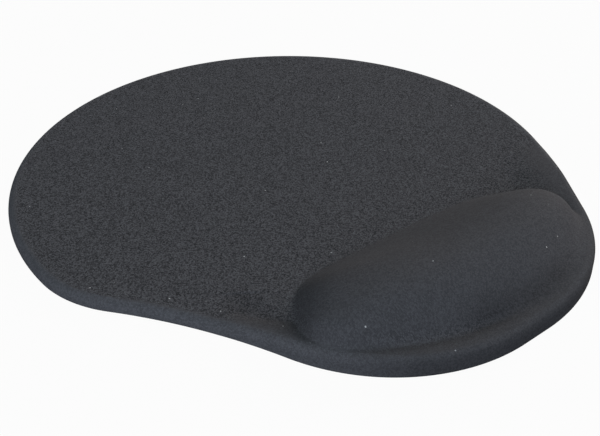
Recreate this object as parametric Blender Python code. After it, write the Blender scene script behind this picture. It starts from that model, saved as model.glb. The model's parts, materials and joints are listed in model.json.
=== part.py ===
"""Mouse mat with a built-in wrist rest, modelled as the layers it is bonded from.

The plan is a round head for the mouse with a rounded lobe in front of it for the wrist.  On the
lobe a gel cushion stands in a raised rim.  A knitted cover is formed over the whole top: it runs
up over the cushion, dips at the cushion's foot, climbs the rim, and turns down at the edge.
Under the cover lie a barrier film and the gel, a foam collar that lifts the rim, a foam base with
a window for the gel, a film that closes the gel pouch, and a non-slip sole.

Metres, +Z up, +Y from the wrist towards the mouse.  The origin is on the table, at the middle of
the mat's box.  Stations are set out along the mat's edge, and a spoke runs from the cushion's
crown to every second station, so layers that touch share the same points in plan.
"""

import math

import bmesh
import bpy
import numpy as np

NAME = "wrist_rest_mat"

# Plan of the mat
MAT_WIDTH = 0.205
LOBE_PROJECTION = 0.0175
LOBE_RADIUS_LEFT = 0.0626
LOBE_RADIUS_RIGHT = 0.0688
NOSE_FLAT = 0.011
SHOULDER_RADIUS = 0.0418
WAIST_RADIUS = 0.1917

# Wrist cushion: parallel to the lobe in front, straight at the back, with round corners
RIM_BAND = 0.007
CUSHION_DEPTH = 0.0563
CUSHION_CORNER_RADIUS = 0.017
CROWN_SETBACK = 0.02825
CROWN_RISE = 0.0156

# Power of the crown's profile: a half makes an ellipse with an upright foot, more makes a slope
CROWN_POWERS = {"end": 0.36, "front": 0.66}
CROWN_BLEND = 3

# Even ramp down to the back of the cushion, from a crest behind the crown
RAMP_CREST = 0.008
RAMP_JOIN = 5

# Raised rim round the cushion, which ends at a distance behind the nose on each side
RIM_RISE = 0.0029
RIM_CREST_INSET = 0.003
RIM_FALL = 0.014
RIM_FALL_POWER = 1.5
RIM_REACH_LEFT = 0.061
RIM_REACH_RIGHT = 0.046
RIM_STEP = 0.004
COLLAR_WIDTH = 0.0125

# Layers and the clearances between them
SOLE_THICKNESS = 0.0010
FOAM_THICKNESS = 0.0019
COVER_THICKNESS = 0.0009
FILM_THICKNESS = 0.0004
BOND_GAP = 0.0003
WINDOW_CLEARANCE = 0.0006
EDGE_RADIUS = 0.0024
SKIRT_CLEARANCE = 0.0005

# Fineness of the meshes
HEAD_SPOKES = 18
RIM_SPOKES = 26
ARC_POINTS = 60
DOME_SHARES = (0.32, 0.64, 0.86, 0.965)
SLOPE_INSET = 0.010
SLOPE_SHARE = 0.6
SMOOTH_ANGLE = math.radians(40)

# Levels and places that follow from the sizes above
FOAM_BOTTOM = SOLE_THICKNESS + BOND_GAP
FOAM_TOP = FOAM_BOTTOM + FOAM_THICKNESS
MAT_TOP = FOAM_TOP + BOND_GAP + COVER_THICKNESS
CROWN_TOP = MAT_TOP + CROWN_RISE
POUCH_TOP = FOAM_BOTTOM + FILM_THICKNESS + BOND_GAP
BED_DEPTH = COVER_THICKNESS + BOND_GAP
FILM_INNER_DEPTH = BED_DEPTH + FILM_THICKNESS
GEL_DEPTH = FILM_INNER_DEPTH + BOND_GAP
HEAD_RADIUS = MAT_WIDTH / 2
MAT_LENGTH = MAT_WIDTH + LOBE_PROJECTION
NOSE_Y = -MAT_LENGTH / 2
HEAD_CENTRE = np.array((0.0, MAT_LENGTH / 2 - HEAD_RADIUS))
LOBE_LEFT = np.array((-NOSE_FLAT / 2, NOSE_Y + LOBE_RADIUS_LEFT))
LOBE_RIGHT = np.array((NOSE_FLAT / 2, NOSE_Y + LOBE_RADIUS_RIGHT))
CROWN = np.array((0.0, NOSE_Y + CROWN_SETBACK))
CUSHION_BACK = NOSE_Y + RIM_BAND + CUSHION_DEPTH
TURN = 2 * math.pi


def bearing(start, end):
    """Angle of the direction from one point in plan to another, from 0 to a full turn."""
    return math.atan2(end[1] - start[1], end[0] - start[0]) % TURN


def directions(angles):
    """Unit vectors in plan at the given angles."""
    return np.column_stack((np.cos(angles), np.sin(angles)))


def waist_centre(shoulder):
    """Centre of the hollow arc that touches the left shoulder and the left side of the lobe."""
    to_shoulder = SHOULDER_RADIUS + WAIST_RADIUS
    to_lobe = LOBE_RADIUS_LEFT + WAIST_RADIUS
    link = LOBE_LEFT - shoulder
    span = float(np.hypot(*link))
    along = (to_shoulder ** 2 - to_lobe ** 2 + span ** 2) / (2 * span)
    across = math.sqrt(to_shoulder ** 2 - along ** 2)
    unit = link / span
    return shoulder + along * unit + across * np.array((unit[1], -unit[0]))


def mat_edge():
    """Points and outward normals along the mat's edge, anticlockwise from the nose.

    On the right a straight run joins lobe and head; on the left a shoulder and a hollow waist do.
    """
    link = HEAD_CENTRE - LOBE_RIGHT
    lean = math.acos((LOBE_RADIUS_RIGHT - HEAD_RADIUS) / float(np.hypot(*link)))
    right = math.atan2(link[1], link[0]) - lean
    shoulder = HEAD_CENTRE - (HEAD_RADIUS - SHOULDER_RADIUS, 0.0)
    waist = waist_centre(shoulder)
    hollow = [math.atan2(*(place - waist)[::-1]) for place in (shoulder, LOBE_LEFT)]
    arcs = (
        (LOBE_RIGHT, LOBE_RADIUS_RIGHT, -TURN / 4, right),
        (HEAD_CENTRE, HEAD_RADIUS, right, TURN / 2),
        (shoulder, SHOULDER_RADIUS, TURN / 2, bearing(shoulder, waist)),
        (waist, -WAIST_RADIUS, *hollow),
        (LOBE_LEFT, LOBE_RADIUS_LEFT, bearing(LOBE_LEFT, waist), 0.75 * TURN),
    )
    points, normals = [], []
    for centre, radius, start, end in arcs:
        outwards = directions(np.linspace(start, end, ARC_POINTS)) * math.copysign(1.0, radius)
        points.append(centre + radius * outwards)
        normals.append(outwards)
    points.append(points[0][:1])
    normals.append(normals[0][:1])
    return np.concatenate(points), np.concatenate(normals)


def edge_stations():
    """Points, normals and rim lift at stations parted evenly along the head and along the rim.

    The lift is 0 on the head and 1 on the rim, with a station half way up each end of the rim.
    """
    points, normals = mat_edge()
    length = np.concatenate(((0.0,), np.cumsum(np.hypot(*np.diff(points, axis=0).T))))
    top = int(np.argmax(points[:, 1]))
    right = np.interp(NOSE_Y + RIM_REACH_RIGHT, points[:top, 1], length[:top])
    left = np.interp(NOSE_Y + RIM_REACH_LEFT, points[:top:-1, 1], length[:top:-1])
    half = RIM_STEP / 2
    head = np.linspace(right + half, left - half, 2 * HEAD_SPOKES - 1)
    rim = np.linspace(left + half, length[-1] + right - half, 2 * RIM_SPOKES - 1)
    run = np.concatenate((head, (left,), rim, (right,))) % length[-1]
    lift = np.repeat((0.0, 0.5, 1.0, 0.5), (len(head), 1, len(rim), 1))
    spots = np.column_stack([np.interp(run, length, axis) for axis in points.T])
    outwards = np.column_stack([np.interp(run, length, axis) for axis in normals.T])
    return spots, outwards, lift


STATIONS, OUTWARDS, LIFT = edge_stations()
SPOKE_LIFT = LIFT[::2]
SPOKE_ENDS = STATIONS[::2] - CROWN
EDGE = np.hypot(*SPOKE_ENDS.T)
SPOKES = SPOKE_ENDS / EDGE[:, None]
SQUARENESS = (SPOKES * OUTWARDS[::2]).sum(axis=1)


def cushion_foot():
    """Distance from the crown to the cushion's foot, and how squarely each spoke crosses it.

    The foot is a closed line of two front arcs parallel to the lobe, two corners and a back.
    """
    corner_y = CUSHION_BACK - CUSHION_CORNER_RADIUS
    line = []
    for lobe, radius, side in ((LOBE_RIGHT, LOBE_RADIUS_RIGHT, 1), (LOBE_LEFT, LOBE_RADIUS_LEFT, -1)):
        front = radius - RIM_BAND
        out = math.sqrt((front - CUSHION_CORNER_RADIUS) ** 2 - (corner_y - lobe[1]) ** 2)
        corner = np.array((lobe[0] + side * out, corner_y))
        turn = bearing(lobe, corner)
        front_arc = lobe + front * directions(np.linspace(0.75 * TURN, turn, ARC_POINTS))
        back_angle = 1.25 * TURN if side > 0 else 0.25 * TURN
        sweep = np.linspace(turn, back_angle, ARC_POINTS)
        corner_arc = corner + CUSHION_CORNER_RADIUS * directions(sweep)
        line.append(np.concatenate((front_arc, corner_arc))[::side])
    start = np.concatenate(line) - CROWN
    end = np.roll(start, -1, axis=0)
    distances, squareness = [], []
    for spoke in SPOKES:
        across = np.array((-spoke[1], spoke[0]))
        before, after = start @ across, end @ across
        crossed = (before <= 0) & (after > 0) & ((start + end) @ spoke > 0)
        hit = int(np.flatnonzero(crossed)[0])
        share = before[hit] / (before[hit] - after[hit])
        step = end[hit] - start[hit]
        distances.append(float((start[hit] + share * step) @ spoke))
        squareness.append(float(step @ across / np.hypot(*step)))
    return np.array(distances), np.array(squareness)


FOOT, FOOT_SQUARENESS = cushion_foot()


def ground(radius):
    """Height of the cover's outer face on the spokes, off the cushion."""
    inset = (EDGE - radius) * SQUARENESS
    fall = np.clip((inset - RIM_CREST_INSET) / RIM_FALL, 0.0, 1.0) ** RIM_FALL_POWER
    return MAT_TOP + SPOKE_LIFT * RIM_RISE * (1 - fall)


def crown_profile(shares):
    """Share of the crown's rise on every spoke, at shares of the way from the crown to the foot.

    Ends and front are bulges.  The back is the bulge of the ends, cut by a ramp that falls evenly
    to the foot; a power mean joins the two, and its value at the crown is taken as 1.
    """
    back = ((1 + SPOKES[:, 1]) / 2) ** CROWN_BLEND
    front = ((1 - SPOKES[:, 1]) / 2) ** CROWN_BLEND
    end_bulge, front_bulge = ((1 - shares ** 2) ** CROWN_POWERS[side] for side in ("end", "front"))
    crest = RAMP_CREST / (CUSHION_BACK - CROWN[1])
    halves = np.maximum((end_bulge, (1 - shares) / (1 - crest)), 1e-6) ** -RAMP_JOIN
    top = (1 + (1 - crest) ** RAMP_JOIN) ** (-1 / RAMP_JOIN)
    ramp = halves.sum(axis=0) ** (-1 / RAMP_JOIN) / top
    return back * ramp + front * front_bulge + (1 - back - front) * end_bulge


def slope_radius():
    """Radius of the ring between the cushion's foot and the mat's edge."""
    return EDGE - np.minimum(SLOPE_INSET / SQUARENESS, SLOPE_SHARE * (EDGE - FOOT))


def sunk_dome(depth):
    """Rings of the dome and its foot, as radius and height, moved inwards square to the surface.

    Each point moves along the mitre of the two lines that meet at it, in a section square to the
    foot, so the layer between two depths keeps an even thickness, also in the crease at the foot.
    """
    shares = np.array((0.0,) + DOME_SHARES + (1.0,))[:, None]
    profile = crown_profile(shares)
    foot_height = ground(FOOT)
    radius = np.vstack((shares * FOOT, slope_radius()))
    height = np.vstack((foot_height + (CROWN_TOP - foot_height) * profile, ground(slope_radius())))
    line = np.stack((np.diff(radius, axis=0) * FOOT_SQUARENESS, np.diff(height, axis=0)))
    line = line / np.hypot(*line)
    normal = np.stack((-line[1], line[0]))
    before, after = normal[:, :-1], normal[:, 1:]
    mitre = depth * (before + after) / (1 + (before * after).sum(axis=0))
    return list(zip(radius[1:-1] - mitre[0] / FOOT_SQUARENESS, height[1:-1] - mitre[1]))


def on_spokes(radius, height):
    """Points at a radius and height on every spoke."""
    return np.column_stack((CROWN + SPOKES * radius[:, None], np.broadcast_to(height, EDGE.shape)))


def on_edge(inset, height):
    """Points at an inset from the mat's edge and at a height, one at every station."""
    return np.column_stack((STATIONS - OUTWARDS * inset, np.broadcast_to(height, LIFT.shape)))


def edge_profile(depth):
    """Inset and drop over the rounded edge at a depth: its start on top, its middle, the wall."""
    middle = EDGE_RADIUS - (EDGE_RADIUS - depth) * math.sqrt(0.5)
    return ((EDGE_RADIUS, depth), (middle, middle), (depth, EDGE_RADIUS))


def round_edge(depth, lift):
    """Loops over the rounded edge at a depth, where the rim is lifted by a share of its rise."""
    top = MAT_TOP + lift * RIM_RISE
    return [on_edge(inset, top - drop) for inset, drop in edge_profile(depth)]


def skin(depth):
    """Loops at a depth under the cover's outer face, from the crown to the foot of the skirt."""
    dome = [on_spokes(*ring) for ring in sunk_dome(depth)]
    slope = on_spokes(slope_radius(), ground(slope_radius()) - depth)
    return dome + [slope] + round_edge(depth, LIFT) + [on_edge(depth, SKIRT_CLEARANCE)]


def crown_point(depth):
    """The top of the dome at a depth under the cover's outer face."""
    return (CROWN[0], CROWN[1], CROWN_TOP - depth)


def finish(name, data, colour, roughness):
    """Make an object with its own material and put it in the part's collection."""
    material = bpy.data.materials.new(name)
    material.use_nodes = True
    shader = material.node_tree.nodes["Principled BSDF"]
    shader.inputs["Base Color"].default_value = (*colour, 1.0)
    shader.inputs["Roughness"].default_value = roughness
    shader.inputs["Metallic"].default_value = 0.0
    data.materials.append(material)
    obj = bpy.data.objects.new(name, data)
    bpy.data.collections[NAME].objects.link(obj)
    return obj


def bridge(form, first, second):
    """Join two closed rows of vertices, one of which may have twice as many as the other.

    Rows run anticlockwise seen from above.  A surface then faces up where it is lofted outwards
    and faces out where it is lofted down.
    """
    count = min(len(first), len(second))
    for index in range(count):
        sides = []
        for row in (second, first):
            step = len(row) // count
            sides.append([row[(step * index + extra) % len(row)] for extra in range(step + 1)])
        form.faces.new(sides[0] + sides[1][::-1])


def loft(name, loops, colour, roughness, start=None, end=None, joined=False):
    """Skin a run of closed loops of points.

    An end closes on a point if one is given, and otherwise with a flat face.  A joined loft runs
    from its last loop back to its first and has no ends.
    """
    form = bmesh.new()
    rows = [[form.verts.new(point) for point in loop] for loop in loops]
    for first, second in zip(rows, rows[1:]):
        bridge(form, first, second)
    if joined:
        bridge(form, rows[-1], rows[0])
    else:
        for row, point in ((rows[0], start), (rows[-1][::-1], end)):
            face = form.faces.new(row)
            if point is not None:
                tip = bmesh.ops.poke(form, faces=[face])["verts"][0]
                tip.co = point
    mesh = bpy.data.meshes.new(name)
    form.to_mesh(mesh)
    form.free()
    mesh.shade_smooth()
    mesh.set_sharp_from_angle(angle=SMOOTH_ANGLE)
    return finish(name, mesh, colour, roughness)


def plate(name, outline, bottom, thickness, colour, roughness):
    """A flat sheet cut to a closed outline."""
    curve = bpy.data.curves.new(name, "CURVE")
    curve.dimensions = "2D"
    curve.fill_mode = "BOTH"
    curve.extrude = thickness / 2
    spline = curve.splines.new("POLY")
    spline.points.add(len(outline) - 1)
    for spot, (x, y, _) in zip(spline.points, outline):
        spot.co = (x, y, 0.0, 1.0)
    spline.use_cyclic_u = True
    sheet = finish(name, curve, colour, roughness)
    sheet.location.z = bottom + thickness / 2
    return sheet


def make_cover():
    """Knitted cover: a thin shell formed over the cushion and rim, turned down at the edge."""
    return loft("fabric_cover", skin(0.0) + skin(COVER_THICKNESS)[::-1], (0.047, 0.049, 0.054), 0.95,
                start=crown_point(0.0), end=crown_point(COVER_THICKNESS))


def pouch_wall(depth):
    """Dome loops at a depth, cut off at an upright wall that stands on the floor of the pouch."""
    dome = sunk_dome(depth)
    (inner, inner_height), (crease, crease_height) = dome[-2:]
    wall = sunk_dome(BED_DEPTH)[-1][0] - (depth - BED_DEPTH) / FOOT_SQUARENESS
    top = crease_height + (inner_height - crease_height) * (crease - wall) / (crease - inner)
    return [on_spokes(*ring) for ring in dome[:-1] + [(wall, top), (wall, POUCH_TOP)]]


def make_cushion_film():
    """Barrier film over the gel, with its wall standing on the floor of the pouch."""
    loops = pouch_wall(BED_DEPTH) + pouch_wall(FILM_INNER_DEPTH)[::-1]
    return loft("cushion_film", loops, (0.30, 0.31, 0.33), 0.35,
                start=crown_point(BED_DEPTH), end=crown_point(FILM_INNER_DEPTH))


def make_gel_cushion():
    """The crowned gel pad that fills the pouch."""
    return loft("gel_cushion", pouch_wall(GEL_DEPTH), (0.35, 0.42, 0.50), 0.25,
                start=crown_point(GEL_DEPTH))


def make_pouch_floor():
    """Film that closes the pouch underneath, as wide as the film's wall."""
    return plate("pouch_floor_film", pouch_wall(BED_DEPTH)[-1], FOAM_BOTTOM, FILM_THICKNESS,
                 (0.30, 0.31, 0.33), 0.35)


def window_radius():
    """Opening that the foam leaves round the wall of the pouch."""
    return sunk_dome(BED_DEPTH)[-1][0] + WINDOW_CLEARANCE


def make_foam_base():
    """Foam sheet under the whole mat, round at its upper edge, with a window for the pouch."""
    window_top, window_bottom = (on_spokes(window_radius(), z) for z in (FOAM_TOP, FOAM_BOTTOM))
    loops = [window_top] + round_edge(BED_DEPTH, 0.0)
    loops += [on_edge(BED_DEPTH, FOAM_BOTTOM), window_bottom]
    return loft("foam_base", loops, (0.025, 0.025, 0.027), 0.9, joined=True)


def make_rim_collar():
    """Foam strip bent round the front of the pouch, which lifts the cover into the rim."""
    crease, crease_height = sunk_dome(BED_DEPTH)[-1]
    slope, slope_height = slope_radius(), ground(slope_radius()) - BED_DEPTH
    inner = np.maximum(window_radius(), EDGE - COLLAR_WIDTH / SQUARENESS)
    inner_height = crease_height + (slope_height - crease_height) * (inner - crease) / (slope - crease)
    seat = FOAM_TOP + BOND_GAP
    section = [(inner, seat), (inner, inner_height), (slope, slope_height)]
    for inset, drop in edge_profile(BED_DEPTH):
        section.append((EDGE - inset / SQUARENESS, MAT_TOP + RIM_RISE - drop))
    section.append((section[-1][0], seat))
    sections = np.stack([on_spokes(*corner) for corner in section], axis=1)
    return loft("rim_collar", sections[SPOKE_LIFT > 0][::-1], (0.030, 0.030, 0.033), 0.9)


def make_sole():
    """Non-slip sheet that the mat stands on."""
    return plate("non_slip_sole", on_edge(BED_DEPTH, 0.0), 0.0, SOLE_THICKNESS,
                 (0.012, 0.012, 0.013), 0.8)


def main():
    """Clear the scene and build every layer, from the sole up."""
    for old in list(bpy.data.objects):
        bpy.data.objects.remove(old)
    bpy.context.scene.collection.children.link(bpy.data.collections.new(NAME))
    make_sole()
    make_foam_base()
    make_pouch_floor()
    make_gel_cushion()
    make_cushion_film()
    make_rim_collar()
    make_cover()


main()
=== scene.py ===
"""Looks of a mouse mat with a built-in wrist rest.

The mat lies on a white table.  One knitted cover is drawn over the whole top: flat on the round head,
crowned over the wrist cushion, dipped at the cushion's foot and turned down over the raised rim.  Under
it lie the gel pad in its film, the foam and the rubber sole.  Metres, +Z up, +Y from wrist to mouse.
"""

import json
import math

import bpy
import numpy as np
from bpy.props import FloatProperty, FloatVectorProperty, IntProperty, PointerProperty
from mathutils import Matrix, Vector


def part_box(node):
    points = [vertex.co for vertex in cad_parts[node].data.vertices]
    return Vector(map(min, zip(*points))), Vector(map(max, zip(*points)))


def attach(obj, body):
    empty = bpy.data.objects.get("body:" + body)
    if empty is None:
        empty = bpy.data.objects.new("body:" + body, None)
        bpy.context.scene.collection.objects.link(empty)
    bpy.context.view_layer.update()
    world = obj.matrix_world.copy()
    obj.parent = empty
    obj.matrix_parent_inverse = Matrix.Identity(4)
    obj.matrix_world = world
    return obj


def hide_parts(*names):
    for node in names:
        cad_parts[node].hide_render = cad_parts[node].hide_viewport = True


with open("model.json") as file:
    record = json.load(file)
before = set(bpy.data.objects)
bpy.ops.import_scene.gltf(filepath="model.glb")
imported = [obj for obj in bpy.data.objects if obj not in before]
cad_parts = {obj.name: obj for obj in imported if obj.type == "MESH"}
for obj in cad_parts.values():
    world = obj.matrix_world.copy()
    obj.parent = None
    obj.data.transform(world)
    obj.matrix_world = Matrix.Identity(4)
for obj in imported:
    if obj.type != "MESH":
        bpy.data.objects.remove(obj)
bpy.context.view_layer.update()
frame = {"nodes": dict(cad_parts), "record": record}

bl_info = {
    "name": "Mouse Mat with Wrist Rest",
    "version": (1, 0, 0),
    "blender": (4, 5, 0),
    "location": "View3D > Sidebar > Mat",
    "description": "Builds the knitted cover, the layers and the studio of a mouse mat with a wrist rest",
    "category": "Object",
}

MAT_TOP = next(m["pos_m"][2] for m in frame["record"]["mounts"] if m["name"] == "mousing_surface")
CROWN_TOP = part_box("fabric_cover")[1][2]
FOAM_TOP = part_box("foam_base")[1][2]
POUCH_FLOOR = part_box("gel_cushion")[0][2]
PHOTO_WIDTH_PX = 600
TURN = 2 * math.pi

# The cushion's foot in plan: knots of a closed curve, anticlockwise from the front
FOOT_KNOTS = (
    (0.0, -0.1036), (0.012, -0.1040), (0.021, -0.1028), (0.031, -0.1000), (0.041, -0.0953),
    (0.0495, -0.0885), (0.0542, -0.0810), (0.0556, -0.0727), (0.0540, -0.0635), (0.0480, -0.0550),
    (0.036, -0.0503), (0.018, -0.0485), (0.0, -0.0480), (-0.018, -0.0476), (-0.034, -0.0479),
    (-0.044, -0.0505), (-0.0515, -0.0575), (-0.0561, -0.0655), (-0.0574, -0.0732), (-0.0550, -0.0806),
    (-0.0480, -0.0868), (-0.0360, -0.0936), (-0.022, -0.0990), (-0.010, -0.1020),
)

# Points along curves and rows across surfaces, where the cover's inner face has every third row
ARC_POINTS, HEAD_POINTS, KNOT_POINTS = 240, 720, 60
DOME_ROWS, GROUND_ROWS, EDGE_ROWS, LIP_ROWS = 60, 56, 11, 5
TOP_ROWS = DOME_ROWS + GROUND_ROWS
INNER_STEP = 3
POUCH_ROWS = 40
COLLAR_ROWS, COLLAR_BEND_ROWS = 8, 5

# Where a form comes in: the value at which it is absent, then the value at which it is whole
BESIDE_GAP = 0.018, 0.008
RIGHT_SPOKES = 0.0, 0.3
SLACK_SPOKES = 0.02, 0.24
FRONT_LEAN = -0.1, 0.5
BRIDGE_START = math.radians(-125.0), math.radians(-45.0)
BRIDGE_END = math.radians(6.0), math.radians(-14.0)
LEFT_SPOKES = -0.5, -0.8
FRONT_SPOKES = 0.05, -0.2
DIP_START = -0.008, 0.002
FOOT_STRETCH = 0.004, -0.004
RIM_STRETCH = 1.3, 0.3
EDGE_BAND = 0.0045, 0.0010
GROOVE_FRONT = -0.35, -0.75
GROOVE_LEFT = -0.95, -0.45
WALL_LIFT = 0.35, 0.75
WALL_LEFT = -0.068, -0.036
WALL_DROP = 0.0002, 0.0016

# Cushion: spokes that count as its ends, and the shares of the foot at which its top is sought
END_SPOKES = 0.9
TOP_SEARCH = 0.01, 0.9, 90

# Shifts over which creases are softened, as shares of the half width
SOFT_SHIFTS = -0.9, 0.9, 19

# Small numbers in place of zero
LEAST_SHARE = 1e-6
TIP_RADIUS = 1e-5

# Widths of the stretched band on the rim and of the rim foam, then what is added beside the cushion
STRETCH_WIDTH = 0.008, 0.006
COLLAR_WIDTH = 0.0055, 0.0065

# Gaps and least sizes of the foam
CLEARANCE = 0.0001
COLLAR_GAP = 0.001
COLLAR_LEAST_LIFT = 0.2
COLLAR_LEAST_HEIGHT = 0.00005

# The dip along the rim, and how much wider it is round the rim's left end
DIP_WIDTH = 0.002
DIP_BROADER, DIP_BROAD_PLACE, DIP_BROAD_RUN = 0.0025, 0.002, 0.012

# Painted light and shade on the knit, each times its strength: painted highlight at the edge, painted shade
# on the wall and in the groove
EDGE_HIGHLIGHT, WALL_SHADE, GROOVE_SHADE = 1.3, 1.1, 1.25
GROOVE_SHIFT, GROOVE_WIDTH = 0.0014, 0.0042

# Knit: grain lost where stretched, middle height of a loop, shade and height from which lint shows
CALM_SHARE = 0.66
LOOP_MIDDLE = 0.6
LINT_SHADE, LINT_CORE = 0.92, 0.970

# Power of the painted shade between the rubber's studs, then roughness of film and gel
STUD_SHADE_POWER = 1.5
FILM_ROUGHNESS, GEL_ROUGHNESS = 0.35, 0.2

# Table and surroundings
TABLE_HALF, TABLE_DEPTH, TABLE_WHITE = 3.0, 0.0002, 0.96
WORLD_LIGHT = 0.02

# Lamps: name, bearing and height in degrees, width in metres, power in watts, colour
LAMP_DISTANCE = 2.4
LAMPS = (
    ("top", 0.0, 90.0, 1.6, 12.0, (0.88, 1.0, 0.92)),
    ("right", 84.0, 20.0, 1.6, 80.0, (1.0, 0.90, 0.84)),
    ("front", 230.0, 27.0, 1.6, 57.0, (0.865, 0.915, 1.0)),
)


def length(name, default, description):
    """A size in metres that the user can change."""
    return FloatProperty(name=name, default=default, description=description, unit="LENGTH", precision=5)


def number(name, default, description):
    """A plain number that the user can change."""
    return FloatProperty(name=name, default=default, description=description)


def colour(name, default, description):
    """A colour that the user can change."""
    return FloatVectorProperty(name=name, default=default, description=description, subtype="COLOR",
                               size=3, min=0.0, max=1.0)


class MatPlan(bpy.types.PropertyGroup):
    """Plan of the mat: a round head, a lobe in front of it and the lines that join them."""

    width: length("Width", 0.205, "Width of the round head")
    lobe_projection: length("Lobe Projection", 0.0175, "How far the mat is longer than wide")
    lobe_left: length("Left Lobe Radius", 0.0626, "Radius of the lobe's left half")
    lobe_right: length("Right Lobe Radius", 0.0688, "Radius of the lobe's right half")
    nose_flat: length("Nose Flat", 0.011, "Straight run between the two halves of the lobe")
    shoulder: length("Shoulder Radius", 0.0418, "Radius where the head turns into the left waist")
    waist: length("Waist Radius", 0.1917, "Radius of the hollow waist on the left")
    edge_radius: length("Edge Radius", 0.0030, "Rounding of the mat's upper edge")
    stations: IntProperty(name="Stations", default=512, description="Points along the mat's edge")


class CushionShape(bpy.types.PropertyGroup):
    """The crowned wrist cushion and the raised rim round it."""

    setback: length("Crown Setback", 0.031, "The crown's place behind the nose")
    left_power: number("Left End", 0.3, "Power of the bulge's left wall")
    right_power: number("Right End", 0.34, "Power of the bulge's right wall")
    front_left: number("Front Left", 1.0, "Power of the bulge's left front")
    front_right: number("Front Right", 0.8, "Power of the bulge's right front")
    bluntness: number("Bluntness", 2.8, "Power of the bulge along its length, where more is more level")
    ramp: length("Ramp", 0.027, "Width of the ramp at the back that would rise to the crown's height")
    ramp_left: length("Left Ramp", 0.017, "The same at the left end")
    ramp_right: length("Right Ramp", 0.022, "The same at the right end")
    join: number("Join", 6.0, "How tightly bulge and ramp meet at the crest")
    rounding: number("Rounding", 3.0, "How soon the foot's corners fade towards the crown")
    calm: length("Calm", 0.012, "Reach round the crown in which the slopes grow alike")
    soften: length("Soften", 0.0018, "Half width over which creases in the cover are rounded")
    bridge: length("Bridge", 0.006, "Extra half width at the right end, where the cover spans the groove")
    front_ease: length("Front Ease", 0.0022, "Extra half width at the front left")
    rim_rise: length("Rim Rise", 0.0029, "Height of the rim above the mat")
    rim_crest: length("Rim Crest", 0.003, "The crest's place inside the edge")
    rim_fall: length("Rim Fall", 0.005, "Width over which the rim falls towards the mat")
    groove_fall: length("Groove Fall", 0.0115, "The same beside the cushion, where it ends in the groove")
    slack_fall: length("Slack Fall", 0.024, "The same behind the cushion's right end, where it is gentle")
    rim_dip: length("Rim Dip", 0.0005, "Depth of the dip along the inner side of the rim's free end")
    bead: number("Bead", 0.25, "Share of the rise with which the rim starts on the left")
    bead_step: length("Bead Step", 0.006, "Run over which that bead starts")
    reach_left: length("Left Reach", 0.061, "Where the rim ends on the left, behind the nose")
    reach_right: length("Right Reach", 0.060, "Where the rim ends on the right, behind the nose")
    step_left: length("Left Step", 0.034, "Run over which the rim grows from the bead to its full rise")
    step_right: length("Right Step", 0.034, "Run over which the rim rises at its right end")


class LayerSizes(bpy.types.PropertyGroup):
    """Thicknesses of the layers and the glue lines between them."""

    cover: length("Cover", 0.0009, "Thickness of the knitted cover")
    film: length("Film", 0.0004, "Thickness of the barrier film round the gel")
    bond: length("Bond", 0.0003, "Glue line between two layers")
    skirt: length("Skirt", 0.0002, "Height of the cover's lower edge above the table")


class Finishes(bpy.types.PropertyGroup):
    """Colours and finishes."""

    knit: colour("Knit", (0.0475, 0.0495, 0.0555), "Charcoal yarn of the cover")
    loop: length("Loop", 0.00044, "Size of one knitted loop")
    grain: number("Grain", 1.15, "Change of shade from loop to loop")
    # Strength of the painted light and shade on the knit: painted highlight along the free edge, painted
    # shade on the front wall, in the groove and along the rim's free end
    painted_light_strength: number("Painted_Shading", 0.22, "How much lighter worn edges and darker creases are")
    fleck: colour("Fleck", (0.30, 0.31, 0.32), "Pale lint caught in the knit")
    foam: colour("Foam", (0.022, 0.022, 0.024), "Closed-cell foam")
    film: colour("Film", (0.28, 0.29, 0.31), "Barrier film")
    gel: colour("Gel", (0.30, 0.37, 0.44), "Gel of the wrist pad")
    rubber: colour("Rubber", (0.030, 0.030, 0.032), "Rubber of the sole")


class StageLook(bpy.types.PropertyGroup):
    """Camera and table."""

    focal_px: number("Focal Length", 1000.0, "Focal length in photo pixels")
    azimuth: FloatProperty(name="Azimuth", default=math.radians(40.0), subtype="ANGLE",
                           description="Turn of the view from +Y towards +X")
    elevation: FloatProperty(name="Elevation", default=math.radians(34.05), subtype="ANGLE",
                             description="Height of the camera above the table, as an angle")
    distance: length("Distance", 0.35802, "From the camera to the point it looks at")
    aim: FloatVectorProperty(name="Aim", default=(-0.01318, -0.01499, 0.0), subtype="TRANSLATION",
                             description="Point on the table that the camera looks at")
    table: colour("Table", (0.30, 0.30, 0.30), "Plain table, as it throws light back")


def arc(centre, radius, start, end, count=ARC_POINTS):
    """Points centre + radius (cos a, sin a) for angles a from start to end, with outward normals.

    A negative radius is a hollow arc, whose outward normals point at its centre.
    """
    angles = np.linspace(start, end, count)
    rays = np.stack((np.cos(angles), np.sin(angles)), axis=1)
    return centre + abs(radius) * rays, rays * math.copysign(1.0, radius)


def bearing(start, end):
    """Angle of the direction from start to end, from 0 to a full turn."""
    return math.atan2(end[1] - start[1], end[0] - start[0]) % TURN


def lobe_centres(plan):
    """The y of the nose and the centres of the lobe's right and left arcs."""
    nose = -(plan.width + plan.lobe_projection) / 2
    right = np.array((plan.nose_flat / 2, nose + plan.lobe_right))
    left = np.array((-plan.nose_flat / 2, nose + plan.lobe_left))
    return nose, right, left


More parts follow.
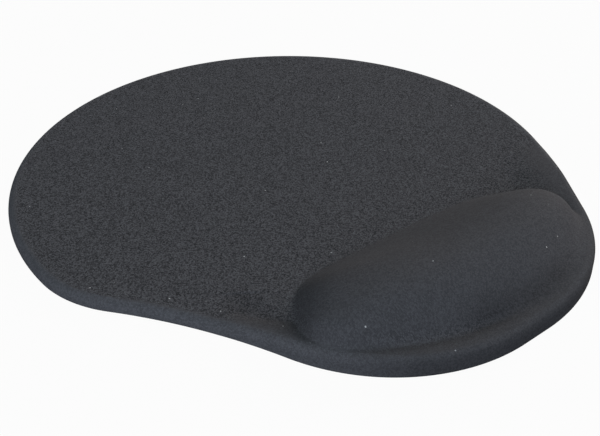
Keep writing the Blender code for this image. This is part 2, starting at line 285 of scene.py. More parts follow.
def edge_line(plan):
    """The mat's edge, anticlockwise from the nose, as points and outward normals.

    Right half of the lobe, a straight tangent, the head, the left shoulder, a hollow waist that touches
    shoulder and lobe, and the left half of the lobe.
    """
    nose, right, left = lobe_centres(plan)
    radius = plan.width / 2
    head = np.array((0.0, -nose - radius))
    link = head - right
    tangent = math.atan2(link[1], link[0]) - math.acos((plan.lobe_right - radius) / np.hypot(*link))
    shoulder = head - (radius - plan.shoulder, 0.0)
    reach = plan.shoulder + plan.waist, plan.lobe_left + plan.waist
    link = left - shoulder
    span = np.hypot(*link)
    along = (reach[0] ** 2 - reach[1] ** 2 + span ** 2) / (2 * span)
    side = np.array((link[1], -link[0])) / span
    waist = shoulder + along * link / span + math.sqrt(reach[0] ** 2 - along ** 2) * side
    hollow = [math.atan2(*(place - waist)[::-1]) for place in (shoulder, left)]
    runs = (
        arc(right, plan.lobe_right, -TURN / 4, tangent),
        arc(head, radius, tangent, TURN / 2, HEAD_POINTS),
        arc(shoulder, plan.shoulder, TURN / 2, bearing(shoulder, waist)),
        arc(waist, -plan.waist, *hollow),
        arc(left, plan.lobe_left, bearing(left, waist), 0.75 * TURN),
        arc(right, plan.lobe_right, -TURN / 4, -TURN / 4, 1),
    )
    return [np.concatenate(parts) for parts in zip(*runs)]


def run_along(points):
    """Length along a line of points, from its first point to each point."""
    return np.concatenate(((0.0,), np.cumsum(np.hypot(*np.diff(points, axis=0).T))))


def cushion_line():
    """The cushion's foot, a closed curve that leaves each knot in the direction of its two neighbours."""
    knots = np.array(FOOT_KNOTS)
    before, after, beyond = (np.roll(knots, -shift, axis=0) for shift in (-1, 1, 2))
    t = np.linspace(0.0, 1.0, KNOT_POINTS, endpoint=False)[:, None, None]
    leave, arrive = (after - before) / 2, (beyond - knots) / 2
    curve = (knots * (2 * t ** 3 - 3 * t ** 2 + 1) + leave * (t ** 3 - 2 * t ** 2 + t)
             + after * (3 * t ** 2 - 2 * t ** 3) + arrive * (t ** 3 - t ** 2))
    return curve.transpose(1, 0, 2).reshape(-1, 2)


def smooth_step(share):
    """The curve 3 t^2 - 2 t^3 between 0 and 1."""
    share = np.clip(share, 0.0, 1.0)
    return share * share * (3 - 2 * share)


def eased(value, absent, whole):
    """The smooth step from 0, where a value is at absent, to 1, where it is at whole."""
    return smooth_step((value - absent) / (whole - absent))


class Mat:
    """Spokes from the cushion's crown to stations on the mat's edge, and the heights along them."""

    def __init__(self, plan, cushion, layers):
        self.plan, self.cushion, self.layers = plan, cushion, layers
        points, normals = edge_line(plan)
        run = run_along(points)
        self.run = np.arange(plan.stations) * run[-1] / plan.stations
        self.edge = np.stack([np.interp(self.run, run, axis) for axis in points.T], axis=1)
        self.out = np.stack([np.interp(self.run, run, axis) for axis in normals.T], axis=1)
        self.out /= np.hypot(*self.out.T)[:, None]
        nose = lobe_centres(plan)[0]
        top = int(np.argmax(points[:, 1]))
        self.rim_right = np.interp(nose + cushion.reach_right, points[:top, 1], run[:top])
        self.rim_left = np.interp(nose + cushion.reach_left, points[:top:-1, 1], run[:top:-1])
        self.crown = np.array((0.0, nose + cushion.setback))
        spokes = self.edge - self.crown
        self.reach = np.hypot(*spokes.T)
        self.spokes = spokes / self.reach[:, None]
        self.square = (self.spokes * self.out).sum(axis=1)
        self.slip = self.spokes[:, 1] * self.out[:, 0] - self.spokes[:, 0] * self.out[:, 1]
        foot = cushion_line() - self.crown
        self.foot = self.polar(foot)
        x, y = self.spokes.T
        self.half_length = (self.foot[x > END_SPOKES].max() + self.foot[x < -END_SPOKES].max()) / 2
        self.back_depth = self.foot[np.argmax(y)]
        self.front_depth = self.foot[np.argmin(y)]
        tips = int(np.argmax(foot[:, 0])), int(np.argmin(foot[:, 0]))
        self.back_line = foot[min(tips):max(tips) + 1][::-1].T
        beside = eased((self.reach - self.foot) * self.square, *BESIDE_GAP)
        right = eased(x, *RIGHT_SPOKES)
        self.beside = np.maximum(beside, right)
        self.slack = eased(y, *SLACK_SPOKES) * right
        self.gain = 1.0
        self.gain = 1 / self.dome(np.linspace(*TOP_SEARCH)[:, None] * self.foot).max()

    def polar(self, line):
        """Distance from the crown to a closed line on every spoke."""
        angles = np.arctan2(line[:, 1], line[:, 0])
        order = np.argsort(angles)
        turns = np.arctan2(self.spokes[:, 1], self.spokes[:, 0])
        return np.interp(turns, angles[order], np.hypot(*line[order].T), period=TURN)

    def lift(self, radius):
        """Share of the rim's rise: 1 along the front, eased to 0 at both ends along the edge.

        A point's place along the edge is its spoke's station, slipped back by the spoke's lean.  On the
        left the rim starts as a low bead and grows from there.
        """
        shape = self.cushion
        place = self.run - (self.reach - radius) * self.slip
        behind = smooth_step((place - self.rim_right) / shape.step_right + 0.5)
        past = place - self.rim_left
        bead = shape.bead * smooth_step(past / shape.bead_step + 0.5)
        return 1 - behind * (1 - bead - (1 - shape.bead) * smooth_step(past / shape.step_left))

    def ground(self, radius):
        """Height off the cushion: the mat, plus the rim, which falls inwards from its crest.

        The fall is long beside the cushion, where the groove is shallow, and short where the rim is free.
        """
        shape = self.cushion
        inset = (self.reach - radius) * self.square
        width = (shape.rim_fall + self.beside * (shape.groove_fall - shape.rim_fall)
                 + self.slack * (shape.slack_fall - shape.groove_fall))
        fall = smooth_step((inset - shape.rim_crest) / width)
        return MAT_TOP + self.lift(radius) * shape.rim_rise * (1 - fall) - shape.rim_dip * self.dip(radius)

    def dip(self, radius):
        """Share of the dip along the inner side of the rim where it is free.

        It is a bell curve across the rim, wider round the rim's left end.
        """
        shape = self.cushion
        inset = (self.reach - radius) * self.square
        place = self.run - (self.reach - radius) * self.slip - self.rim_left
        broad = DIP_BROADER * np.exp(-((place - DIP_BROAD_PLACE) / DIP_BROAD_RUN) ** 2)
        bell = np.exp(-((inset - shape.rim_crest - shape.rim_fall - broad) / (DIP_WIDTH + broad)) ** 2)
        return bell * (1 - self.beside) * eased(place, *DIP_START)

    def share(self, radius):
        """How far out a point lies: 0 at the crown, 1 at the foot.

        Near the foot the squared share follows the foot line, near the crown an ellipse, so that the
        corners of the foot draw no ridges over the dome.
        """
        x, y = np.moveaxis(self.spokes * radius[..., None], -1, 0)
        depth = np.where(y > 0, self.back_depth, self.front_depth)
        oval = (np.abs(x) / self.half_length) ** self.cushion.bluntness + (y / depth) ** 2
        gauge = np.clip(radius / self.foot, 0.0, 1.0)
        weight = gauge ** self.cushion.rounding
        return np.clip(weight * gauge ** 2 + (1 - weight) * oval, 0.0, 1.0)

    def dome(self, radius):
        """Share of the crown's rise: a bulge cut by a straight ramp down to the back of the foot.

        The bulge is (1 - share)^power, with one power in front and one at each end.  The ramp rises
        evenly from the foot's back line, more steeply towards the ends.  A power mean joins both.
        """
        shape = self.cushion
        x, y = np.moveaxis(self.spokes * radius[..., None], -1, 0)
        lean = -y / np.hypot(radius, shape.calm)
        side = smooth_step(0.5 + x / self.half_length)
        end = shape.left_power + (shape.right_power - shape.left_power) * side
        front = shape.front_left + (shape.front_right - shape.front_left) * side
        power = end + (front - end) * eased(lean, *FRONT_LEAN)
        bulge = np.maximum((1 - self.share(radius)) ** power, LEAST_SHARE)
        far = smooth_step(np.abs(x) / self.half_length)
        width = shape.ramp + (np.where(x < 0, shape.ramp_left, shape.ramp_right) - shape.ramp) * far
        ramp = np.maximum((np.interp(x, *self.back_line) - y) / width, LEAST_SHARE)
        return (bulge ** -shape.join + ramp ** -shape.join) ** (-1 / shape.join) * self.gain

    def crisp_height(self, radius):
        """Height with sharp creases: the ground, and inside the foot the dome on it."""
        ground = self.ground(radius)
        return np.where(radius < self.foot, ground + (CROWN_TOP - ground) * self.dome(radius), ground)

    def height(self, radius):
        """The crisp height averaged over a short run of the spoke with a raised-cosine weight.

        The run is longer towards the right end, where the cover bridges from the cushion to the rim, and
        a little longer at the front left.
        """
        shifts = np.linspace(*SOFT_SHIFTS)
        weights = 1 + np.cos(math.pi * shifts)
        x, y = self.spokes.T
        angle = np.arctan2(y, x)
        bridge = eased(angle, *BRIDGE_START) * eased(angle, *BRIDGE_END)
        left = eased(x, *LEFT_SPOKES) * eased(y, *FRONT_SPOKES)
        extra = np.maximum(bridge * self.cushion.bridge, left * self.cushion.front_ease)
        run = self.cushion.soften + extra * np.clip(radius / self.foot, 0.0, 1.0) ** 2
        heights = [w * self.crisp_height(np.abs(radius + s * run)) for s, w in zip(shifts, weights)]
        return np.sum(heights, axis=0) / weights.sum()

    def tip(self, depth=0.0):
        """The crown's point at a depth under the cover's outer face."""
        return np.append(self.crown, self.height(np.full_like(self.foot, TIP_RADIUS)).mean() - depth)

    def at(self, radius, height):
        """Points at a radius and a height on every spoke."""
        flat = self.crown + self.spokes * np.asarray(radius)[..., None]
        return np.concatenate((flat, np.broadcast_to(height, flat.shape[:-1])[..., None]), axis=-1)

    def along_edge(self, inset, height):
        """Points at an inset from the edge and at a height, one at every station."""
        flat = self.edge - self.out * inset
        return np.concatenate((flat, np.broadcast_to(height, self.run.shape)[:, None]), axis=1)


def facing(rows):
    """Unit normals of a grid of points, from the cross product of its two central differences."""
    down = np.gradient(rows, axis=0)
    along = np.roll(rows, -1, axis=1) - np.roll(rows, 1, axis=1)
    normal = np.cross(down, along)
    return normal / np.linalg.norm(normal, axis=2, keepdims=True)


def dome_rows(foot, count, spread=1.3):
    """Radii from near the crown to the foot, closer together towards the foot."""
    share = 1 - (1 - np.linspace(0.0, 1.0, count + 1)[1:, None]) ** spread
    return share * foot


def cover_skin(mat):
    """The cover's outer face as rows of points from the crown to the lower edge of the skirt.

    Dome rows run to the foot, ground rows on to the edge, then a quarter round and an upright wall.
    """
    plan, layers = mat.plan, mat.layers
    share = smooth_step(np.linspace(0.0, 1.0, GROUND_ROWS + 1)[1:, None])
    start = mat.reach - plan.edge_radius / mat.square
    radii = np.concatenate((dome_rows(mat.foot, DOME_ROWS), mat.foot + share * (start - mat.foot)))
    rows = list(mat.at(radii, mat.height(radii)))
    top = MAT_TOP + mat.cushion.rim_rise * mat.lift(mat.reach)
    slide = np.linspace(0.0, 1.0, EDGE_ROWS + 1)[1:]
    for turn in slide * TURN / 4:
        inset = plan.edge_radius * (1 - math.sin(turn))
        rows.append(mat.along_edge(inset, top - plan.edge_radius * (1 - math.cos(turn))))
    wall = top - plan.edge_radius
    lip = layers.skirt + layers.cover / 2
    for share in slide[1::2]:
        rows.append(mat.along_edge(0.0, wall + (lip - wall) * share))
    return np.stack(rows)


def grid_faces(rows, columns, start=0):
    """Quads between neighbouring rows of a grid that closes on itself, facing out."""
    first = start + np.arange(rows - 1)[:, None] * columns + np.arange(columns)
    after = start + np.arange(rows - 1)[:, None] * columns + (np.arange(columns) + 1) % columns
    return np.stack((first, first + columns, after + columns, after), axis=2).reshape(-1, 4)


def surface_object(name, rows, first_tip, last_tip):
    """A mesh over rows of points, closed by a fan to a tip at each end."""
    count, columns = rows.shape[:2]
    points = rows.reshape(-1, 3)
    faces = grid_faces(count, columns).tolist()
    here = np.arange(columns)
    after = (here + 1) % columns
    last = (count - 1) * columns
    for tip, fan in ((first_tip, (here, after)), (last_tip, (last + after, last + here))):
        hub = np.full(columns, len(points))
        points = np.concatenate((points, np.reshape(tip, (1, 3))))
        faces += np.stack((hub, *fan), axis=1).tolist()
    mesh = bpy.data.meshes.new(name)
    mesh.from_pydata(points, [], faces)
    mesh.shade_smooth()
    obj = bpy.data.objects.new(name, mesh)
    bpy.context.scene.collection.objects.link(obj)
    return obj


def settle(obj, node, material):
    """Put a piece on the part's body in place of a node, with its finish."""
    obj.data.materials.append(material)
    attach(obj, "root")
    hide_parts(node)


def socket_value(node, **values):
    """Set input sockets of a node by name, with underscores for spaces."""
    for name, value in values.items():
        node.inputs[name.replace("_", " ")].default_value = value


class Tree:
    """Short ways to add and link nodes."""

    def __init__(self, tree):
        self.tree = tree

    def add(self, kind, **settings):
        """A new node with its settings."""
        node = self.tree.nodes.new(kind)
        for name, value in settings.items():
            setattr(node, name, value)
        return node

    def link(self, source, target):
        """Join an output to an input."""
        self.tree.links.new(source, target)
        return target

    def math(self, operation, first, second=0.5):
        """One arithmetic step on sockets or numbers."""
        node = self.add("ShaderNodeMath", operation=operation)
        for socket, value in zip(node.inputs, (first, second)):
            if isinstance(value, (int, float)):
                socket.default_value = value
            else:
                self.link(value, socket)
        return node.outputs[0]

    def scaled(self, vector, factor):
        """A vector times a number or a socket."""
        node = self.add("ShaderNodeVectorMath", operation="SCALE")
        self.link(vector, node.inputs[0])
        if isinstance(factor, (int, float)):
            node.inputs["Scale"].default_value = factor
        else:
            self.link(factor, node.inputs["Scale"])
        return node.outputs[0]


def node_group(name, inputs, outputs):
    """An empty shader node group with named float or vector sockets."""
    tree = bpy.data.node_groups.new(name, "ShaderNodeTree")
    for socket, kind in inputs:
        tree.interface.new_socket(socket, in_out="INPUT", socket_type=kind)
    for socket, kind in outputs:
        tree.interface.new_socket(socket, in_out="OUTPUT", socket_type=kind)
    kit = Tree(tree)
    return kit, kit.add("NodeGroupInput").outputs, kit.add("NodeGroupOutput").inputs


def cells_group():
    """Round cells of random shade, for loops of yarn, pores of foam and studs of rubber.

    Height is one minus the distance to the nearest cell centre.  Shade is a random number per cell.
    """
    kit, into, out = node_group(
        "Cells",
        (("Vector", "NodeSocketVector"), ("Size", "NodeSocketFloat"), ("Randomness", "NodeSocketFloat")),
        (("Height", "NodeSocketFloat"), ("Shade", "NodeSocketFloat")))
    cells = kit.add("ShaderNodeTexVoronoi", voronoi_dimensions="2D", feature="F1")
    socket_value(cells, Scale=1.0)
    kit.link(kit.scaled(into["Vector"], kit.math("DIVIDE", 1.0, into["Size"])), cells.inputs["Vector"])
    kit.link(into["Randomness"], cells.inputs["Randomness"])
    split = kit.add("ShaderNodeSeparateColor")
    kit.link(cells.outputs["Color"], split.inputs[0])
    kit.link(kit.math("SUBTRACT", 1.0, cells.outputs["Distance"]), out["Height"])
    kit.link(split.outputs[0], out["Shade"])
    return kit.tree


def cloud_group():
    """Soft patches, a noise around 1 with a given size and contrast."""
    kit, into, out = node_group(
        "Clouds",
        (("Vector", "NodeSocketVector"), ("Size", "NodeSocketFloat"), ("Contrast", "NodeSocketFloat")),
        (("Factor", "NodeSocketFloat"),))
    noise = kit.add("ShaderNodeTexNoise", noise_dimensions="3D")
    socket_value(noise, Scale=1.0, Detail=2.0, Roughness=0.6)
    kit.link(kit.scaled(into["Vector"], kit.math("DIVIDE", 1.0, into["Size"])), noise.inputs["Vector"])
    offset = kit.math("MULTIPLY", kit.math("SUBTRACT", noise.outputs["Fac"], 0.5), into["Contrast"])
    kit.link(kit.math("ADD", offset, 1.0), out["Factor"])
    return kit.tree


def placed_group(kit, tree, vector, **values):
    """Place a node group in a material with its own values."""
    node = kit.add("ShaderNodeGroup", node_tree=tree)
    kit.link(vector, node.inputs["Vector"])
    socket_value(node, **values)
    return node.outputs


def new_material(name):
    """A material with a Principled BSDF, as its node kit and shader."""
    material = bpy.data.materials.new(name)
    material.use_nodes = True
    return material, Tree(material.node_tree), material.node_tree.nodes["Principled BSDF"]


def tinted(kit, base, factor):
    """A colour times a factor that changes over the surface."""
    mix = kit.add("ShaderNodeVectorMath", operation="SCALE")
    mix.inputs[0].default_value = base
    kit.link(factor, mix.inputs["Scale"])
    return mix.outputs[0]


def bumped(kit, shader, height, strength, distance):
    """Feed a height into the shader's normal."""
    bump = kit.add("ShaderNodeBump")
    socket_value(bump, Strength=strength, Distance=distance)
    kit.link(height, bump.inputs["Height"])
    kit.link(bump.outputs[0], shader.inputs["Normal"])


def knit_material(finish, groups):
    """Matte charcoal knit: loops of slightly unlike shade, soft patches, specks of pale lint and painted
    light and shade.

    The loops are calmer where the cover is stretched over the cushion and the rim.
    """
    material, kit, shader = new_material("charcoal_knit")
    cloth = kit.add("ShaderNodeUVMap", uv_map="cloth").outputs[0]
    place = kit.add("ShaderNodeTexCoord").outputs["Object"]
    stretched, tone = (kit.add("ShaderNodeAttribute", attribute_name=name).outputs["Fac"]
                       for name in ("stretched", "tone"))
    loops = placed_group(kit, groups["cells"], cloth, Size=finish.loop, Randomness=0.6)
    patches = placed_group(kit, groups["clouds"], place, Size=0.0045, Contrast=0.16)
    calm = kit.math("SUBTRACT", 1.0, kit.math("MULTIPLY", stretched, CALM_SHARE))
    unlike = kit.math("SUBTRACT", loops["Shade"], 0.5)
    dots = kit.math("SUBTRACT", loops["Height"], LOOP_MIDDLE)
    change = kit.math("MULTIPLY", kit.math("ADD", unlike, dots), finish.grain)
    shade = kit.math("ADD", kit.math("MULTIPLY", change, calm), 1.0)
    shade = kit.math("MULTIPLY", shade, patches["Factor"])
    # Painted light and shade: lighter where a highlight is painted on the edge, darker where shade is
    # painted on the wall, in the groove and along the rim
    shade = kit.math("MULTIPLY", shade, kit.math("ADD", 1.0, kit.math("MULTIPLY", tone, finish.painted_light_strength)))
    lint = placed_group(kit, groups["cells"], cloth, Size=0.008, Randomness=1.0)
    pale = kit.math("MAXIMUM", kit.math("SUBTRACT", lint["Shade"], LINT_SHADE), 0.0)
    spots = kit.math("MULTIPLY", kit.math("GREATER_THAN", lint["Height"], LINT_CORE),
                     kit.math("DIVIDE", pale, 1 - LINT_SHADE))
    yarn = kit.add("ShaderNodeVectorMath", operation="ADD")
    kit.link(tinted(kit, finish.knit, shade), yarn.inputs[0])
    kit.link(tinted(kit, finish.fleck, spots), yarn.inputs[1])
    kit.link(yarn.outputs[0], shader.inputs["Base Color"])
    socket_value(shader, Roughness=0.95)
    shader.inputs["Specular IOR Level"].default_value = 0.02
    bumped(kit, shader, loops["Height"], strength=0.35, distance=0.4 * finish.loop)
    return material


def foam_material(finish, groups):
    """Black closed-cell foam with fine pores."""
    material, kit, shader = new_material("black_foam")
    place = kit.add("ShaderNodeTexCoord").outputs["Object"]
    pores = placed_group(kit, groups["cells"], place, Size=0.0006, Randomness=1.0)
    patches = placed_group(kit, groups["clouds"], place, Size=0.004, Contrast=0.3)
    kit.link(tinted(kit, finish.foam, patches["Factor"]), shader.inputs["Base Color"])
    socket_value(shader, Roughness=0.9)
    bumped(kit, shader, pores["Height"], strength=0.5, distance=0.0003)
    return material


def film_material(name, base, roughness, groups):
    """Smooth plastic film or gel, a little cloudy."""
    material, kit, shader = new_material(name)
    place = kit.add("ShaderNodeTexCoord").outputs["Object"]
    patches = placed_group(kit, groups["clouds"], place, Size=0.012, Contrast=0.2)
    kit.link(tinted(kit, base, patches["Factor"]), shader.inputs["Base Color"])
    socket_value(shader, Roughness=roughness)
    return material


def rubber_material(finish, groups):
    """Black rubber with a fine moulded grip of small studs, and painted shade between the studs."""
    material, kit, shader = new_material("grip_rubber")
    place = kit.add("ShaderNodeTexCoord").outputs["Object"]
    studs = placed_group(kit, groups["cells"], place, Size=0.0022, Randomness=0.0)
    patches = placed_group(kit, groups["clouds"], place, Size=0.008, Contrast=0.5)
    # Soft patches of unlike tone, times painted shade that darkens the rubber towards the gaps between the
    # studs
    painted = kit.math("MULTIPLY", patches["Factor"], kit.math("POWER", studs["Height"], STUD_SHADE_POWER))
    kit.link(tinted(kit, finish.rubber, painted), shader.inputs["Base Color"])
    socket_value(shader, Roughness=0.75)
    bumped(kit, shader, studs["Height"], strength=0.6, distance=0.0004)
    return material


def shared_groups():
    """The node groups, built once."""
    made = {group.name: group for group in bpy.data.node_groups}
    cells = made.get("Cells") or cells_group()
    clouds = made.get("Clouds") or cloud_group()
    return {"cells": cells, "clouds": clouds}


def mat_of(scene):
    """The mat's spokes and heights from the scene's settings."""
    return Mat(scene.mat_plan, scene.mat_cushion, scene.mat_layers)


class MAT_OT_cover(bpy.types.Operator):
    """Draw the knitted cover over the mat, the cushion and the rim"""

    bl_idname = "mat.cover"
    bl_label = "Knitted Cover"

    def execute(self, context):
        scene = context.scene
        mat = mat_of(scene)
        thickness = mat.layers.cover
        outer = cover_skin(mat)
        inner = outer - thickness * facing(outer)
        inner[:TOP_ROWS, :, 2] = np.maximum(inner[:TOP_ROWS, :, 2], FOAM_TOP + CLEARANCE)
        inner[-1] = mat.along_edge(thickness, outer[-1, :, 2])
        turns = np.linspace(0.0, TURN / 2, LIP_ROWS + 2)[1:-1]
        lip = [mat.along_edge(thickness / 2 * (1 - math.cos(turn)),
                              outer[-1, :, 2] - thickness / 2 * math.sin(turn)) for turn in turns]
        rows = np.concatenate((outer, np.stack(lip), inner[::-INNER_STEP]))
        cover = surface_object("knitted_cover", rows, mat.tip(), mat.tip(thickness))
        self.lay_cloth(cover.data, mat, rows)
        settle(cover, "fabric_cover", knit_material(scene.mat_finishes, shared_groups()))
        return {"FINISHED"}

    def lay_cloth(self, mesh, mat, rows):
        """Lay a map over the cover in metres, and mark where it is stretched and where light and shade are
        painted on it.

        A point's place on the cloth lies on its own spoke, as far from the crown as the cover runs, and
        past the mat's upper face straight out from the edge.
        """
        steps = np.linalg.norm(np.diff(rows, axis=0), axis=2)
        start = np.linalg.norm(rows[0] - mat.tip(), axis=1)
        run = np.concatenate((start[None], start + np.cumsum(steps, axis=0)))
        level = np.minimum(run, run[TOP_ROWS - 1])
        place = mat.crown + mat.spokes * level[..., None] + mat.out * (run - level)[..., None]
        place = np.concatenate((place.reshape(-1, 2), np.tile(mat.crown, (2, 1))))
        corners = np.empty(len(mesh.loops), dtype=np.int32)
        mesh.loops.foreach_get("vertex_index", corners)
        cloth = mesh.uv_layers.new(name="cloth")
        cloth.uv.foreach_set("vector", place[corners].astype(np.float32).ravel())
        radius = np.hypot(*np.moveaxis(rows[..., :2] - mat.crown, 2, 0))
        near = eased(radius - mat.foot, *FOOT_STRETCH)
        inset = (mat.reach - radius) * mat.square
        risen = np.minimum(mat.lift(radius) / mat.cushion.bead, 1.0)
        width = STRETCH_WIDTH[0] + STRETCH_WIDTH[1] * mat.beside
        raised = np.maximum(risen * eased(inset / width, *RIM_STRETCH), eased(inset, *EDGE_BAND))
        marks = {
            "stretched": (np.maximum(near, raised), 1.0),
            "tone": (self.tone(mat, rows, radius, inset), 0.0),
        }
        for name, (values, tip) in marks.items():
            mark = mesh.attributes.new(name, "FLOAT", "POINT")
            mark.data.foreach_set("value", np.append(values.ravel(), (tip, tip)).astype(np.float32))

    def tone(self, mat, rows, radius, inset):
        """Painted light and shade on the knit: painted highlight above 0, painted shade below 0.

        A painted highlight along the mat's free edge; painted shade in the groove in front of the cushion,
        along the inner side of the rim's free end and on the wall under the rim.
        """
        x, y = mat.spokes.T
        groove = GROOVE_SHADE * np.exp(-((radius - mat.foot + GROOVE_SHIFT) / GROOVE_WIDTH) ** 2)
        groove = groove * eased(y, *GROOVE_FRONT) * eased(x, *GROOVE_LEFT)
        lift = mat.lift(mat.reach)
        front = eased(lift, *WALL_LIFT) * eased(mat.edge[:, 0], *WALL_LEFT)
        wall = eased(MAT_TOP + mat.cushion.rim_rise * lift - rows[..., 2], *WALL_DROP)
        rim = EDGE_HIGHLIGHT * (1 - front) - WALL_SHADE * front * wall
        return eased(inset, *EDGE_BAND) * rim - np.maximum(groove, mat.dip(radius))


class MAT_OT_gel(bpy.types.Operator):
    """Fill the cushion with a gel pad in its film"""

    bl_idname = "mat.gel"
    bl_label = "Gel Pad and Film"

    def execute(self, context):
        mat = mat_of(context.scene)
        finish = context.scene.mat_finishes
        layers = mat.layers
        bed = layers.cover + layers.bond
        depths = bed, bed + layers.film, bed + layers.film + layers.bond
        skins = [self.pouch(mat, depth) for depth in depths]
        tips = [mat.tip(depth) for depth in depths]
        groups = shared_groups()
        film = surface_object("gel_film", np.concatenate((skins[0], skins[1][::-1])), tips[0], tips[1])
        settle(film, "cushion_film", film_material("barrier_film", finish.film, FILM_ROUGHNESS, groups))
        floor = np.append(mat.crown, POUCH_FLOOR)
        pad = surface_object("gel_pad", skins[2], tips[2], floor)
        settle(pad, "gel_cushion", film_material("wrist_gel", finish.gel, GEL_ROUGHNESS, groups))
        return {"FINISHED"}

    def pouch(self, mat, depth):
        """Dome rows drawn in and down by a depth, and a wall that stands on the floor of the pouch.

        The wall keeps inside the outline of the floor film.
        """
        vertices = frame["nodes"]["pouch_floor_film"].data.vertices
        floor = np.empty(3 * len(vertices), dtype=np.float32)
        vertices.foreach_get("co", floor)
        floor = floor.reshape(-1, 3)[:, :2].astype(float)
        limit = np.minimum(mat.foot, mat.polar(floor - mat.crown) + mat.layers.cover + mat.layers.bond)
        radii = dome_rows(limit, POUCH_ROWS)[:-1]
        shrunk = radii * (1 - depth / limit)
        rows = mat.at(shrunk, mat.height(radii) - depth)
        foot = mat.at(shrunk[-1], POUCH_FLOOR)
        return np.concatenate((rows, foot[None]))


class MAT_OT_collar(bpy.types.Operator):
    """Bend the foam strip that lifts the cover into the rim"""

    bl_idname = "mat.collar"
    bl_label = "Rim Foam"

    def execute(self, context):
        mat = mat_of(context.scene)
        bed = mat.layers.cover + mat.layers.bond
        bend = mat.plan.edge_radius - bed
        seat = np.full_like(mat.reach, FOAM_TOP + CLEARANCE)
        least = seat + COLLAR_LEAST_HEIGHT
        width = COLLAR_WIDTH[0] + COLLAR_WIDTH[1] * mat.beside
        inner = np.maximum(mat.foot + COLLAR_GAP, mat.reach - width / mat.square)
        start = mat.reach - mat.plan.edge_radius / mat.square
        radii = inner + np.linspace(0.0, 1.0, COLLAR_ROWS + 1)[:, None] * (start - inner)
        top = MAT_TOP + mat.cushion.rim_rise * mat.lift(mat.reach) - bed
        section = [mat.at(inner, seat), *mat.at(radii, np.maximum(mat.height(radii) - bed, least))]
        for turn in np.linspace(0.0, TURN / 4, COLLAR_BEND_ROWS + 1)[1:]:
            height = np.maximum(top - bend * (1 - math.cos(turn)), least)
            section.append(mat.along_edge(bed + bend * (1 - math.sin(turn)), height))
        section.append(mat.along_edge(bed, seat))
        risen = np.flatnonzero(mat.lift(mat.reach) > COLLAR_LEAST_LIFT)
        risen = np.roll(risen, -1 - int(np.argmax(np.diff(risen))))
        bar = np.stack(section[::-1], axis=1)[risen]
        collar = surface_object("rim_foam", bar, bar[0].mean(axis=0), bar[-1].mean(axis=0))
        settle(collar, "rim_collar", foam_material(context.scene.mat_finishes, shared_groups()))
        return {"FINISHED"}


class MAT_OT_layers(bpy.types.Operator):
    """Give the foam, the floor film and the rubber sole their finishes"""

    bl_idname = "mat.layers"
    bl_label = "Foam and Sole"

    def execute(self, context):
        finish = context.scene.mat_finishes
        groups = shared_groups()
        finishes = {
            "foam_base": foam_material(finish, groups),
            "pouch_floor_film": film_material("floor_film", finish.film, FILM_ROUGHNESS, groups),
            "non_slip_sole": rubber_material(finish, groups),
        }
        for node, material in finishes.items():
            slots = frame["nodes"][node].data.materials
            slots.clear()
            slots.append(material)
        return {"FINISHED"}


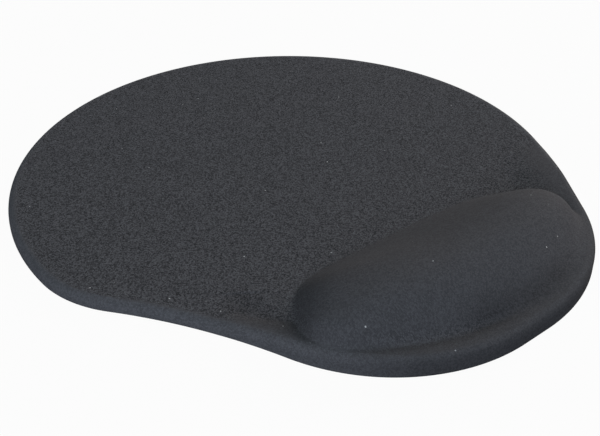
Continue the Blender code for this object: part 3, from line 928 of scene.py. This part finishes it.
class MAT_OT_stage(bpy.types.Operator):
    """Set the white table, the soft lights and the camera"""

    bl_idname = "mat.stage"
    bl_label = "Studio"

    def execute(self, context):
        scene = context.scene
        look = scene.mat_stage
        scene.view_settings.view_transform = "Standard"
        self.table(scene, look)
        self.world(scene)
        self.lamps(scene)
        self.camera(scene, look)
        return {"FINISHED"}

    def table(self, scene, look):
        """A wide white table, shown almost as white as the backdrop, with the object's shadow on it."""
        sides = (-1, -1), (1, -1), (1, 1), (-1, 1)
        corners = [(x * TABLE_HALF, y * TABLE_HALF, -TABLE_DEPTH) for x, y in sides]
        mesh = bpy.data.meshes.new("table")
        mesh.from_pydata(corners, [], [(0, 1, 2, 3)])
        floor = bpy.data.objects.new("table", mesh)
        scene.collection.objects.link(floor)
        material, kit, shader = new_material("white_table")
        socket_value(shader, Base_Color=(*look.table, 1.0), Roughness=0.9)
        white = kit.add("ShaderNodeEmission")
        mix = kit.add("ShaderNodeMixShader")
        seen = kit.math("MULTIPLY", kit.add("ShaderNodeLightPath").outputs["Is Camera Ray"], TABLE_WHITE)
        kit.link(seen, mix.inputs[0])
        kit.link(shader.outputs[0], mix.inputs[1])
        kit.link(white.outputs[0], mix.inputs[2])
        kit.link(mix.outputs[0], material.node_tree.nodes["Material Output"].inputs["Surface"])
        mesh.materials.append(material)

    def world(self, scene):
        """Even white surroundings: full white where the camera sees them, softer as light."""
        world = bpy.data.worlds.new("studio")
        scene.world = world
        world.use_nodes = True
        kit = Tree(world.node_tree)
        shade = world.node_tree.nodes["Background"]
        paths = kit.add("ShaderNodeLightPath").outputs
        seen = kit.math("MAXIMUM", paths["Is Camera Ray"], paths["Is Glossy Ray"])
        seen = kit.math("MAXIMUM", seen, paths["Is Transmission Ray"])
        strength = kit.math("ADD", kit.math("MULTIPLY", seen, 1 - WORLD_LIGHT), WORLD_LIGHT)
        kit.link(strength, shade.inputs["Strength"])
        shade.inputs["Color"].default_value = (1.0, 1.0, 1.0, 1.0)

    def lamps(self, scene):
        """Large soft lamps round the mat, each turned towards it."""
        for name, turn, rise, size, power, tint in LAMPS:
            lamp = bpy.data.lights.new(name, "AREA")
            lamp.size = size
            lamp.energy = power
            lamp.color = tint
            obj = bpy.data.objects.new(name, lamp)
            scene.collection.objects.link(obj)
            turn, rise = math.radians(turn), math.radians(rise)
            ray = Vector((math.sin(turn) * math.cos(rise), math.cos(turn) * math.cos(rise), math.sin(rise)))
            obj.location = ray * LAMP_DISTANCE
            obj.rotation_euler = ray.to_track_quat("Z", "Y").to_euler()

    def camera(self, scene, look):
        """The photo's camera: where it stands, where it looks, and its focal length in pixels."""
        data = bpy.data.cameras.new("photo_camera")
        data.sensor_width = 36.0
        data.lens = data.sensor_width * look.focal_px / PHOTO_WIDTH_PX
        data.clip_start = 0.01
        camera = bpy.data.objects.new("photo_camera", data)
        scene.collection.objects.link(camera)
        level = math.cos(look.elevation)
        ahead = Vector((math.sin(look.azimuth) * level, math.cos(look.azimuth) * level,
                        -math.sin(look.elevation)))
        camera.location = Vector(look.aim) - ahead * look.distance
        camera.rotation_euler = ahead.to_track_quat("-Z", "Y").to_euler()
        scene.camera = camera


class MAT_PT_panel(bpy.types.Panel):
    """Sizes, finishes and buttons for every piece"""

    bl_idname = "MAT_PT_panel"
    bl_label = "Mouse Mat"
    bl_space_type = "VIEW_3D"
    bl_region_type = "UI"
    bl_category = "Mat"

    def draw(self, context):
        scene = context.scene
        for settings in (scene.mat_plan, scene.mat_cushion, scene.mat_layers, scene.mat_finishes,
                         scene.mat_stage):
            box = self.layout.box()
            for name in settings.__annotations__:
                box.prop(settings, name)
        for operator in OPERATORS:
            self.layout.operator(operator.bl_idname)


SETTINGS = {
    "mat_plan": MatPlan,
    "mat_cushion": CushionShape,
    "mat_layers": LayerSizes,
    "mat_finishes": Finishes,
    "mat_stage": StageLook,
}
OPERATORS = (MAT_OT_cover, MAT_OT_gel, MAT_OT_collar, MAT_OT_layers, MAT_OT_stage)


def register():
    """Make the settings, operators and panel known to Blender."""
    for kind in (*SETTINGS.values(), *OPERATORS, MAT_PT_panel):
        bpy.utils.register_class(kind)
    for name, kind in SETTINGS.items():
        setattr(bpy.types.Scene, name, PointerProperty(type=kind))


def unregister():
    """Take them away again."""
    for name in SETTINGS:
        delattr(bpy.types.Scene, name)
    for kind in (MAT_PT_panel, *OPERATORS, *SETTINGS.values()):
        bpy.utils.unregister_class(kind)


def main():
    """Register everything, and build the pieces and the studio."""
    register()
    bpy.ops.mat.cover()
    bpy.ops.mat.gel()
    bpy.ops.mat.collar()
    bpy.ops.mat.layers()
    bpy.ops.mat.stage()


if __name__ == "__main__":
    main()
